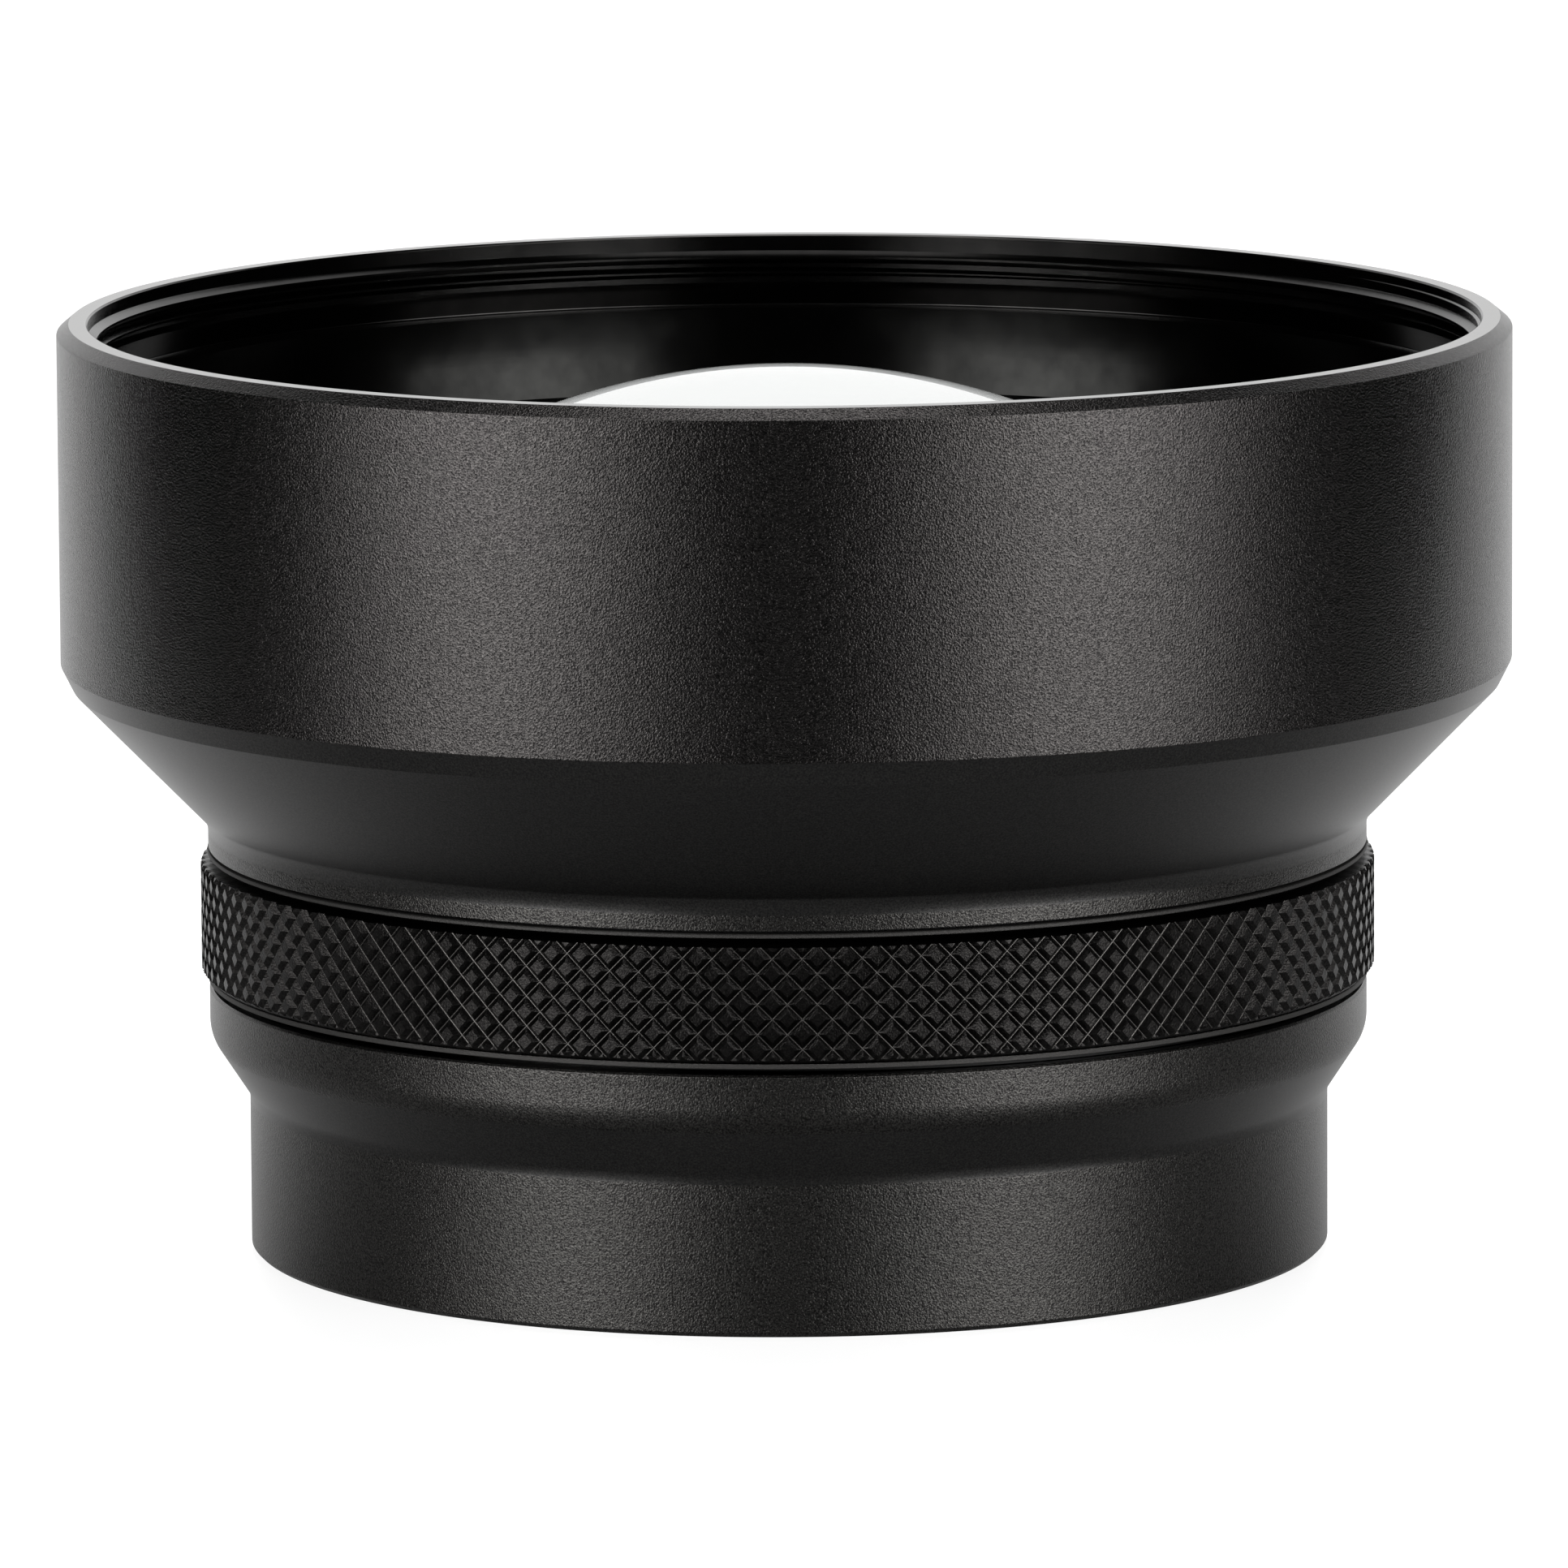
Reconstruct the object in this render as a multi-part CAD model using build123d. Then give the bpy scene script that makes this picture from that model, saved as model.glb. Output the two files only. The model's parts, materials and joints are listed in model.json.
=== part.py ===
"""Afocal teleconverter: a bell with a filter thread, a knurled focusing ring and a rear barrel.

Everything is turned about Z. The origin is the centre of the rear face, +Z looks out of the front.
Lengths are in millimetres and angles in degrees.
"""

import os
from math import atan2, cos, pi, radians, sin, sqrt, tan

from build123d import *

# Outside of the bell
total_height = 45.0
barrel_r = 35.0
rim_chamfer_w = 0.6
rim_chamfer_h = 0.5
edge_bevel_w = 0.55
edge_bevel_h = 1.1
bell_cone_angle = 44.3
bell_step_w = 7.0
bell_fillet = 1.3
bell_neck_h = 1.27
neck_edge = 0.12

# Inside of the bell
rim_wall = 1.5
filter_thread_h = 2.4
thread_lead_in = 0.2
relief_w = 0.3
relief_h = 1.2
thread_ledge_w = 1.3
bell_shoulder_w = 1.2
bell_wall = 2.85

# Rear barrel
rear_barrel_h = 12.82
rear_neck_h = 2.3
rear_cone_h = 2.9
rear_cone_round = 2.2
rear_cone_fillet = 1.2
rear_step_w = 1.9
rear_edge = 0.2
mount_wall = 1.6
mount_thread_h = 4.5
mount_relief_w = 0.25

# Focusing ring and its gaps
ring_gap_low = 0.29
ring_gap_top = 0.14
ring_h = 6.37
ring_stand = 0.04
ring_shoulder_h_top = 0.25
ring_shoulder_h_low = 0.35
ring_chamfer_h = 0.42
grip_wall = 0.74
grip_fit = 0.01
drive_inset = 0.34

# Diamond knurl
knurl_rise = 0.33
knurl_depth = 0.27
knurl_count = 126
knurl_rows = 3.5
knurl_flat_share = 0.46

# Cam sleeve
neck_wall = 1.85
sleeve_thread_step = 0.2
sleeve_low_thread_step = 0.75
sleeve_low_thread_h = 4.7
sleeve_wall = 2.15
sleeve_rise = 0.4
ring_turn = 90.0
cell_travel = 1.8
cam_count = 3
cam_rise = 2.38

# Cam rollers and screws
roller_r = 1.1
screw_shank_r = 0.55
screw_head_r = 1.0
screw_reach = 1.7
screw_slot_w = 0.3
screw_slot_d = 0.35

# Clearances
running = 0.05
close_fit = 0.02
stack_gap = 0.05
overrun = 1.0

# Front doublet
crown_front_radius = 34.2
crown_edge_h = 2.0
cement_radius = 110.0
cement_gap = 0.02
flint_centre_h = 2.6
flint_rear_radius = 55.0
flint_seat_w = 1.3

# Front cell, its rings and the light trap
cell_flange_w = 7.7
cell_flange_h = 6.4
cell_face_w = 5.6
cell_face_drop = 2.5
cell_rim_w = 0.25
cell_tube_wall = 2.05
cell_lip_h = 1.15
cell_lip_w = 1.3
shim_h = 0.2
seal_section_r = 0.6
retainer_lip_w = 1.2
retainer_h = 1.5
retainer_face_drop = 0.75
retainer_slot_w = 1.2
retainer_slot_d = 0.7
retainer_slot_l = 1.5
baffle_h = 1.62
baffle_wall = 1.0
baffle_lip_w = 4.6
baffle_lip_h = 0.5
baffle_edge = 0.1

# Washers
washer_h = 0.37
wave_strip_h = 0.2
wave_height = 0.12
wave_count = 3
wave_samples = 12
wave_split_angle = 5.0
washer_side_gap = 0.05

# Rear cell and its glass
rear_cell_h = 9.8
rear_skirt_h = 3.6
rear_skirt_inset = 1.05
rear_cell_lift = 0.72
rear_cell_wall = 4.95
rear_land_w = 1.1
rear_lip_h = 1.0
rear_front_edge_h = 4.4
rear_front_top_radius = 120.0
rear_front_low_radius = 90.0
rear_spacer_h = 2.7
rear_back_edge_h = 1.4
rear_back_top_radius = 60.0
rear_back_low_radius = 85.0
rear_retainer_h = 1.4
rear_retainer_step = 1.3
rear_retainer_inset = 0.4
flare_w = 4.4
flare_steps = 3
flare_step_w = 0.35

# Set screw
set_screw_r = 0.8
set_screw_sink = 0.35
set_screw_socket_r = 0.42
set_screw_socket_d = 0.8

# Radii worked out from the bell's radius inwards
filter_thread_r = barrel_r - rim_wall
bell_bore_r = filter_thread_r - thread_ledge_w
bell_cavity_r = bell_bore_r - bell_shoulder_w
doublet_r = bell_bore_r - cell_flange_w
neck_r = barrel_r - bell_step_w
rear_r = neck_r - rear_step_w
mount_thread_r = rear_r - mount_wall
ring_shoulder_r = neck_r + ring_stand
knurl_r = ring_shoulder_r + knurl_rise
grip_inner_r = ring_shoulder_r - grip_wall
sleeve_seat_r = neck_r - neck_wall
sleeve_thread_r = sleeve_seat_r - sleeve_thread_step
sleeve_low_thread_r = sleeve_seat_r - sleeve_low_thread_step
sleeve_bore_r = sleeve_seat_r - sleeve_wall
sleeve_bore_in_bell = sleeve_thread_r + running

# Heights worked out from the rear face upwards
ring_low_z = rear_barrel_h + ring_gap_low
ring_top_z = ring_low_z + ring_h
neck_low_z = ring_top_z + ring_gap_top
cone_top_r = barrel_r - edge_bevel_w
cone_slope = tan(radians(bell_cone_angle))
cone_top_z = neck_low_z + bell_neck_h + (cone_top_r - neck_r) / cone_slope
barrel_low_z = cone_top_z + edge_bevel_h
ledge_z = total_height - filter_thread_h - relief_h


def cone_z(radius):
    """Height at which the bell's outer cone has this radius."""
    return cone_top_z - (cone_top_r - radius) / cone_slope


cavity_low_z = cone_z(bell_cavity_r + bell_wall)
cavity_neck_z = cone_z(sleeve_bore_in_bell + bell_wall)
sleeve_top_z = cavity_neck_z + sleeve_rise
sleeve_low_z = rear_barrel_h - sleeve_low_thread_h
cam_z = rear_barrel_h + cam_rise


def sag(sphere_radius, radius):
    """Depth of a spherical cap at this radius."""
    return sphere_radius - sqrt(sphere_radius**2 - radius**2)


# The front group stands on the sleeve through the baffle, and its stack sets the height of the cell's face
flint_land_r = doublet_r - flint_seat_w
cell_low_z = sleeve_top_z + baffle_h
cell_lip_z = cell_low_z + cell_lip_h
flint_seat_z = cell_lip_z + shim_h
flint_vertex_z = flint_seat_z + sag(flint_rear_radius, flint_land_r)
cement_vertex_z = flint_vertex_z + flint_centre_h + cement_gap
crown_low_z = cement_vertex_z - sag(cement_radius, doublet_r)
crown_edge_z = crown_low_z + crown_edge_h
apex_z = crown_edge_z + sag(crown_front_radius, doublet_r)
cell_seat_floor_z = crown_edge_z + close_fit

retainer_low_z = cell_seat_floor_z + 2 * seal_section_r + stack_gap
retainer_top_z = retainer_low_z + retainer_h
cell_inner_face_r = bell_bore_r - running - cell_rim_w - cell_face_w
cell_inner_face_z = retainer_top_z
cell_face_z = cell_inner_face_z + cell_face_drop
cell_flange_z = cell_face_z - cell_flange_h
retainer_r = cell_inner_face_r - running
retainer_inner_r = doublet_r - retainer_lip_w

rear_cell_z = sleeve_low_z + rear_cell_lift + running
rear_cell_r = sleeve_bore_r - running
rear_glass_r = rear_cell_r - rear_cell_wall
rear_skirt_z = rear_cell_z - rear_skirt_h
rear_retainer_z = rear_skirt_z + rear_retainer_inset
rear_back_low_z = rear_retainer_z + rear_retainer_h + close_fit
rear_back_top_z = rear_back_low_z + rear_back_edge_h
rear_front_low_z = rear_back_top_z + rear_spacer_h + 2 * close_fit
rear_front_top_z = rear_front_low_z + rear_front_edge_h
rear_lip_z = rear_front_top_z + close_fit
rear_land_r = rear_glass_r - rear_land_w
rear_cell_top_z = rear_cell_z + rear_cell_h


def at(radius, height):
    """A point of a turning profile."""
    return Vector(radius, 0, height)


def turned(points, rounds=()):
    """A solid turned about Z from a closed profile of (radius, height) points.

    rounds lists the profile's rounded corners as (point, radius).
    """
    corners = [at(*point) for point in points]
    face = make_face(Polyline(*corners, close=True))
    for point, radius in rounds:
        face = fillet(face.vertices().sort_by_distance(at(*point))[0], radius)
    return revolve(face, Axis.Z)


def cap_arc(sphere_radius, vertex_z, radius, direction):
    """Arc of a spherical surface from the axis to radius, bulging up (+1) or hollow from below (-1)."""
    half = radius / 2
    rim_z = vertex_z - direction * sag(sphere_radius, radius)
    mid_z = vertex_z - direction * sag(sphere_radius, half)
    return ThreePointArc(at(0, vertex_z), at(half, mid_z), at(radius, rim_z))


def lens(top, low, edge_r):
    """A lens from its two surfaces, each (sphere radius, vertex height, cap radius, direction).

    Where a cap stops short of the edge, a flat ground land runs out to it.
    """
    top_arc = cap_arc(*top)
    low_arc = cap_arc(*low)
    top_rim, low_rim = top_arc @ 1, low_arc @ 1
    top_corner, low_corner = at(edge_r, top_rim.Z), at(edge_r, low_rim.Z)
    edges = [top_arc, low_arc, Line(top_corner, low_corner), Line(top_arc @ 0, low_arc @ 0)]
    if top_rim.X < edge_r:
        edges.append(Line(top_rim, top_corner))
    if low_rim.X < edge_r:
        edges.append(Line(low_rim, low_corner))
    return revolve(make_face(edges), Axis.Z)


def radial_rod(radius, inner_r, outer_r, angle, height):
    """A round rod that lies along a radius of the part."""
    plane = Plane(origin=(0, 0, height), z_dir=(cos(radians(angle)), sin(radians(angle)), 0))
    rod = Cylinder(radius, outer_r - inner_r, align=(Align.CENTER, Align.CENTER, Align.MIN))
    return plane * Pos(0, 0, inner_r) * rod


def around(make_one, count=cam_count):
    """Copies of a piece evenly spaced about Z."""
    return [make_one(360 * index / count) for index in range(count)]


def front_barrel():
    top = total_height
    outer = [
        (filter_thread_r + thread_lead_in, top),
        (barrel_r - rim_chamfer_w, top),
        (barrel_r, top - rim_chamfer_h),
        (barrel_r, barrel_low_z),
        (cone_top_r, cone_top_z),
        (neck_r, cone_z(neck_r)),
        (neck_r, neck_low_z + neck_edge),
        (neck_r - neck_edge, neck_low_z),
    ]
    inner = [
        (sleeve_bore_in_bell, neck_low_z),
        (sleeve_bore_in_bell, cavity_neck_z),
        (bell_cavity_r, cavity_low_z),
        (bell_cavity_r, cell_flange_z),
        (bell_bore_r, cell_flange_z),
        (bell_bore_r, ledge_z),
        (filter_thread_r + relief_w, ledge_z),
        (filter_thread_r, ledge_z + relief_h),
        (filter_thread_r, top - thread_lead_in),
    ]
    return turned(outer + inner, [((neck_r, cone_z(neck_r)), bell_fillet)])


def front_crown_lens():
    top = (crown_front_radius, apex_z, doublet_r, 1)
    low = (cement_radius, cement_vertex_z, doublet_r, 1)
    return lens(top, low, doublet_r)


def front_flint_lens():
    top = (cement_radius, cement_vertex_z - cement_gap, doublet_r, 1)
    low = (flint_rear_radius, flint_vertex_z, flint_land_r, 1)
    return lens(top, low, doublet_r)


def front_seat_shim():
    low, top = cell_lip_z, flint_seat_z
    inner, outer = flint_land_r + close_fit, doublet_r
    return turned([(inner, low), (outer, low), (outer, top), (inner, top)])


def front_cell():
    outer_r = bell_bore_r - running
    tube_r = doublet_r + close_fit + cell_tube_wall
    lens_bore_r = doublet_r + close_fit
    return turned([
        (outer_r, cell_flange_z),
        (outer_r, cell_face_z),
        (outer_r - cell_rim_w, cell_face_z),
        (cell_inner_face_r, cell_inner_face_z),
        (cell_inner_face_r, cell_seat_floor_z),
        (lens_bore_r, cell_seat_floor_z),
        (lens_bore_r, cell_lip_z),
        (doublet_r - cell_lip_w, cell_lip_z),
        (doublet_r - cell_lip_w, cell_low_z),
        (tube_r, cell_low_z),
        (tube_r, cell_flange_z),
    ])


def front_seal_ring():
    """Rubber ring in the corner between the glass and the cell."""
    middle_r = cell_inner_face_r - seal_section_r - close_fit
    return Pos(0, 0, cell_seat_floor_z + seal_section_r) * Torus(middle_r, seal_section_r)


def spanner_slots(outer_r, top_z, upwards):
    """Two notches, opposite each other, for the pins of a lens spanner."""
    height = overrun + retainer_slot_d
    middle_z = top_z + upwards * (overrun - retainer_slot_d) / 2
    notch = Box(retainer_slot_l + overrun, retainer_slot_w, height)
    middle_r = outer_r + (overrun - retainer_slot_l) / 2
    return [Pos(side * middle_r, 0, middle_z) * notch for side in (-1, 1)]


def front_retaining_ring():
    lip_z = apex_z - sag(crown_front_radius, retainer_inner_r) + close_fit
    step_r = doublet_r + close_fit
    body = turned([
        (step_r, retainer_low_z),
        (retainer_r, retainer_low_z),
        (retainer_r, retainer_top_z),
        (retainer_inner_r, retainer_top_z - retainer_face_drop),
        (retainer_inner_r, lip_z),
    ])
    return body - spanner_slots(retainer_r, retainer_top_z, 1)


def bell_baffle():
    """Light trap clamped between the cam sleeve and the front cell."""
    outer_r = sleeve_thread_r - running
    inner_r = outer_r - baffle_wall
    edge_r = outer_r - baffle_lip_w
    low, top = sleeve_top_z, cell_low_z
    return turned([
        (outer_r, low),
        (outer_r, top),
        (inner_r, top),
        (inner_r, low + baffle_lip_h),
        (edge_r, low + baffle_edge),
        (edge_r, low),
    ])


def helical_slot(angle):
    """Cutter for one slot of the cam sleeve: a quarter turn that rises by the cell's travel."""
    half_w = roller_r + running
    middle_r = (sleeve_bore_r + sleeve_seat_r) / 2
    reach = sleeve_seat_r - sleeve_bore_r + 2 * overrun
    route = Helix(pitch=cell_travel * 360 / ring_turn, height=cell_travel, radius=middle_r)
    section = Plane(origin=route @ 0, x_dir=(1, 0, 0), z_dir=route % 0) * Rectangle(reach, 2 * half_w)
    channel = sweep(section, path=route, is_frenet=True)
    inner, outer = middle_r - reach / 2, middle_r + reach / 2
    start = radial_rod(half_w, inner, outer, 0, 0)
    end = radial_rod(half_w, inner, outer, ring_turn, cell_travel)
    return Pos(0, 0, cam_z) * Rot(0, 0, angle) * (channel + start + end)


def cam_sleeve():
    body = turned([
        (sleeve_bore_r, sleeve_low_z),
        (sleeve_low_thread_r, sleeve_low_z),
        (sleeve_low_thread_r, rear_barrel_h),
        (sleeve_seat_r, rear_barrel_h),
        (sleeve_seat_r, neck_low_z),
        (sleeve_thread_r, neck_low_z),
        (sleeve_thread_r, sleeve_top_z),
        (sleeve_bore_r, sleeve_top_z),
    ])
    for cutter in around(helical_slot):
        body -= cutter
    return body


def rear_barrel():
    thread_bore_r = sleeve_low_thread_r + running
    cone_top = (neck_r, rear_barrel_h - rear_neck_h)
    cone_low = (rear_r, rear_barrel_h - rear_neck_h - rear_cone_h)
    shoulder_z = sleeve_low_z - stack_gap
    relief_r = mount_thread_r + mount_relief_w
    body = turned(
        [
            (mount_thread_r + thread_lead_in, 0),
            (rear_r - rear_edge, 0),
            (rear_r, rear_edge),
            cone_low,
            cone_top,
            (neck_r, rear_barrel_h - neck_edge),
            (neck_r - neck_edge, rear_barrel_h),
            (thread_bore_r, rear_barrel_h),
            (thread_bore_r, shoulder_z),
            (relief_r, shoulder_z),
            (relief_r, mount_thread_h),
            (mount_thread_r, mount_thread_h),
            (mount_thread_r, thread_lead_in),
        ],
        [(cone_top, rear_cone_round), (cone_low, rear_cone_fillet)],
    )
    hole = radial_rod(set_screw_r, sleeve_bore_r, neck_r + overrun, 90, set_screw_z())
    return body - hole


def set_screw_z():
    """The set screw sits in the middle of the lower neck."""
    return rear_barrel_h - rear_neck_h / 2


def barrel_set_screw():
    outer_r = neck_r - set_screw_sink
    thread_bore_r = sleeve_low_thread_r + running
    body = radial_rod(set_screw_r - close_fit, thread_bore_r, outer_r, 90, set_screw_z())
    mouth = Plane(origin=(0, outer_r, set_screw_z()), z_dir=(0, -1, 0))
    socket = extrude(mouth * RegularPolygon(set_screw_socket_r, 6), amount=set_screw_socket_d)
    return body - socket


def drive_ring():
    inner_r = sleeve_seat_r + running
    low, top = ring_low_z + drive_inset, ring_top_z - drive_inset
    body = turned([(inner_r, low), (grip_inner_r, low), (grip_inner_r, top), (inner_r, top)])
    slot_low = cam_z - screw_head_r - running
    slot_h = top + overrun - slot_low
    wall = grip_inner_r - inner_r

    def open_slot(angle):
        tool = Box(wall + overrun, 2 * (screw_head_r + running), slot_h)
        middle_r = inner_r + wall / 2
        return Rot(0, 0, angle) * Pos(middle_r, 0, slot_low + slot_h / 2) * tool

    return body - around(open_slot)


def knurl_geometry():
    """The knurl's angular step, band height, row pitch and half width of a flat, which keep every facet plane."""
    step = 2 * pi / knurl_count
    low_z = ring_low_z + ring_shoulder_h_low + ring_chamfer_h
    top_z = ring_top_z - ring_shoulder_h_top - ring_chamfer_h
    pitch_z = (top_z - low_z) / knurl_rows
    valley_r = knurl_r - knurl_depth
    fall = knurl_depth * knurl_flat_share / (1 - knurl_flat_share)
    side_x, side_y = valley_r * cos(step / 2), valley_r * sin(step / 2)
    flat_half_w = side_y / (1 + (knurl_r - side_x) / fall)
    return step, low_z, top_z, pitch_z, flat_half_w


def facet(*points):
    return Face(Wire.make_polygon(points, close=True))


def grip_ring():
    """Ring with a raised diamond knurl: flat-topped pyramids between two crossing sets of V grooves."""
    step, low_z, top_z, pitch_z, flat_half_w = knurl_geometry()
    valley_r = knurl_r - knurl_depth
    flat_half_h = knurl_flat_share * pitch_z / 2
    flat_r = sqrt(knurl_r**2 + flat_half_w**2)
    flat_angle = atan2(flat_half_w, knurl_r)

    def spot(radius, angle, height):
        return Vector(radius * cos(angle), radius * sin(angle), height)

    def diamond(angle, height, halves):
        """Flat and walls of one diamond; halves holds +1, -1 or both, for the half above or below its middle."""
        side = [spot(valley_r, angle - step / 2, height), spot(valley_r, angle + step / 2, height)]
        flat = [spot(flat_r, angle - flat_angle, height), spot(flat_r, angle + flat_angle, height)]
        faces, tips = [], []
        for half in halves:
            tip = spot(knurl_r, angle, height + half * flat_half_h)
            valley = spot(valley_r, angle, height + half * pitch_z / 2)
            faces += [facet(side[0], flat[0], tip, valley), facet(side[1], flat[1], tip, valley)]
            tips.append(tip)
        faces.append(facet(flat[0], *tips[:1], flat[1], *tips[1:]))
        return faces

    def run_out(angle, height, edge_z, end_z):
        """Chamfer and shoulder facets beside one half diamond at the band's edge."""
        faces = []
        flat = [spot(flat_r, angle - flat_angle, height), spot(flat_r, angle + flat_angle, height)]
        edge, end = [], []
        for side in (-1, 1):
            edge.append(spot(ring_shoulder_r, angle + side * step / 2, edge_z))
            end.append(spot(ring_shoulder_r, angle + side * step / 2, end_z))
        faces.append(facet(flat[0], flat[1], edge[1], edge[0]))
        faces.append(facet(edge[0], edge[1], end[1], end[0]))
        for index, side in enumerate((-1, 1)):
            faces.append(facet(flat[index], spot(valley_r, angle + side * step / 2, height), edge[index]))
        return faces

    faces = []
    full_rows = int(knurl_rows)
    for column in range(knurl_count):
        angle, between = column * step, (column + 1 / 2) * step
        for row in range(full_rows):
            faces += diamond(angle, low_z + (row + 1) * pitch_z, (1, -1))
            faces += diamond(between, low_z + (row + 1 / 2) * pitch_z, (1, -1))
        faces += diamond(angle, low_z, (1,))
        faces += diamond(between, top_z, (-1,))
        faces += run_out(angle, low_z, low_z - ring_chamfer_h, ring_low_z)
        faces += run_out(between, top_z, top_z + ring_chamfer_h, ring_top_z)
    low_corners = [spot(ring_shoulder_r, (n + 1 / 2) * step, ring_low_z) for n in range(knurl_count)]
    top_corners = [spot(ring_shoulder_r, n * step, ring_top_z) for n in range(knurl_count)]
    faces += [facet(*low_corners), facet(*top_corners)]
    body = Solid(Shell(faces))
    bore = Cylinder(grip_inner_r + grip_fit, 2 * total_height)
    return body - bore


def glide_washer():
    inner, outer = sleeve_seat_r + washer_side_gap, grip_inner_r - washer_side_gap
    top = neck_low_z - stack_gap
    return turned([(inner, top - washer_h), (outer, top - washer_h), (outer, top), (inner, top)])


def wave_washer():
    """Split spring strip that rises and falls three times round the sleeve."""
    inner, outer = sleeve_seat_r + washer_side_gap, grip_inner_r - washer_side_gap
    middle_r, width = (inner + outer) / 2, outer - inner
    middle_z = rear_barrel_h + stack_gap + (wave_strip_h + wave_height) / 2
    split = radians(wave_split_angle)
    samples = wave_count * wave_samples
    points = []
    for index in range(samples + 1):
        turn = split / 2 + (2 * pi - split) * index / samples
        height = middle_z + wave_height / 2 * cos(wave_count * turn)
        points.append((middle_r * cos(turn), middle_r * sin(turn), height))
    route = Spline(*points)
    section = Plane(origin=route @ 0, x_dir=(cos(split / 2), sin(split / 2), 0), z_dir=route % 0)
    strip = section * Rectangle(width, wave_strip_h)
    return sweep(strip, path=route, binormal=Edge.make_line((0, 0, 0), (0, 0, 1)))


def rear_cell():
    """Sliding cell: it turns with the ring and rides up the sleeve's bore."""
    skirt_r = rear_cell_r - rear_skirt_inset
    glass_bore_r = rear_glass_r + close_fit
    retainer_bore_r = rear_glass_r + rear_retainer_step
    retainer_top_z = rear_retainer_z + rear_retainer_h + close_fit
    flare_z = rear_lip_z + rear_lip_h
    flare_h = (rear_cell_top_z - flare_z) / flare_steps
    flare = []
    for index in range(flare_steps):
        radius = rear_land_r + flare_w * index / flare_steps
        base_z = flare_z + flare_h * index
        flare += [(radius + flare_step_w, base_z), (radius + flare_w / flare_steps, base_z + flare_h)]
    body = turned(
        [
            (retainer_bore_r, rear_skirt_z),
            (skirt_r, rear_skirt_z),
            (skirt_r, rear_cell_z),
            (rear_cell_r, rear_cell_z),
            (rear_cell_r, rear_cell_top_z),
        ]
        + flare[::-1]
        + [
            (rear_land_r, flare_z),
            (rear_land_r, rear_lip_z),
            (glass_bore_r, rear_lip_z),
            (glass_bore_r, retainer_top_z),
            (retainer_bore_r, retainer_top_z),
        ]
    )

    def tapped_hole(angle):
        return radial_rod(screw_shank_r, rear_cell_r - screw_reach, rear_cell_r + overrun, angle, cam_z)

    return body - around(tapped_hole)


def cam_roller(angle):
    inner, outer = sleeve_bore_r, sleeve_seat_r - running
    body = radial_rod(roller_r, inner, outer, angle, cam_z)
    return body - radial_rod(screw_shank_r + close_fit, inner - overrun, outer + overrun, angle, cam_z)


def cam_screw(angle):
    """Shank through the roller into the cell, and a slotted head that the drive ring takes round."""
    head_inner = sleeve_seat_r + running / 2
    head_outer = grip_inner_r - running
    shank = radial_rod(screw_shank_r - close_fit, rear_cell_r - screw_reach, head_inner, angle, cam_z)
    head = radial_rod(screw_head_r, head_inner, head_outer, angle, cam_z)
    slot = Box(2 * screw_slot_d, 2 * screw_head_r + overrun, screw_slot_w)
    return shank + head - Rot(0, 0, angle) * Pos(head_outer, 0, cam_z) * slot


def rear_front_lens():
    top = (rear_front_top_radius, rear_front_top_z - sag(rear_front_top_radius, rear_land_r), rear_land_r, -1)
    low = (rear_front_low_radius, rear_front_low_z + sag(rear_front_low_radius, rear_land_r), rear_land_r, 1)
    return lens(top, low, rear_glass_r)


def rear_back_lens():
    top = (rear_back_top_radius, rear_back_top_z + sag(rear_back_top_radius, rear_land_r), rear_land_r, 1)
    low = (rear_back_low_radius, rear_back_low_z + sag(rear_back_low_radius, rear_land_r), rear_land_r, 1)
    return lens(top, low, rear_glass_r)


def rear_spacer_ring():
    low, top = rear_back_top_z + close_fit, rear_front_low_z - close_fit
    inner, outer = rear_land_r + close_fit, rear_glass_r
    return turned([(inner, low), (outer, low), (outer, top), (inner, top)])


def rear_retaining_ring():
    outer = rear_glass_r + rear_retainer_step - close_fit
    low, top = rear_retainer_z, rear_retainer_z + rear_retainer_h
    body = turned([(rear_land_r, low), (outer, low), (outer, top), (rear_land_r, top)])
    return body - spanner_slots(outer, low, -1)


pieces = {
    "front_barrel": front_barrel,
    "front_crown_lens": front_crown_lens,
    "front_flint_lens": front_flint_lens,
    "front_seat_shim": front_seat_shim,
    "front_cell": front_cell,
    "front_seal_ring": front_seal_ring,
    "front_retaining_ring": front_retaining_ring,
    "bell_baffle": bell_baffle,
    "cam_sleeve": cam_sleeve,
    "glide_washer": glide_washer,
    "drive_ring": drive_ring,
    "grip_ring": grip_ring,
    "wave_washer": wave_washer,
    "rear_barrel": rear_barrel,
    "barrel_set_screw": barrel_set_screw,
    "rear_cell": rear_cell,
    "cam_rollers": lambda: Compound(children=around(cam_roller)),
    "cam_screws": lambda: Compound(children=around(cam_screw)),
    "rear_front_lens": rear_front_lens,
    "rear_spacer_ring": rear_spacer_ring,
    "rear_back_lens": rear_back_lens,
    "rear_retaining_ring": rear_retaining_ring,
}

os.makedirs("parts", exist_ok=True)
for name, make in pieces.items():
    export_step(make(), f"parts/{name}.step")
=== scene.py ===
# %% [markdown]
# # A teleconverter in black anodised aluminium
#
# This lens screws onto the front of a camera's own lens and makes far things look larger. It stands on its small
# rear end with the wide bell upwards. The solid model has already given every piece its size and place. This
# lesson gives the pieces their looks: true round surfaces, cut threads, a knurled grip, glass and light.

# %% Load the solid model
import json

import bpy
import numpy as np
from mathutils import Matrix, Vector


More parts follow.
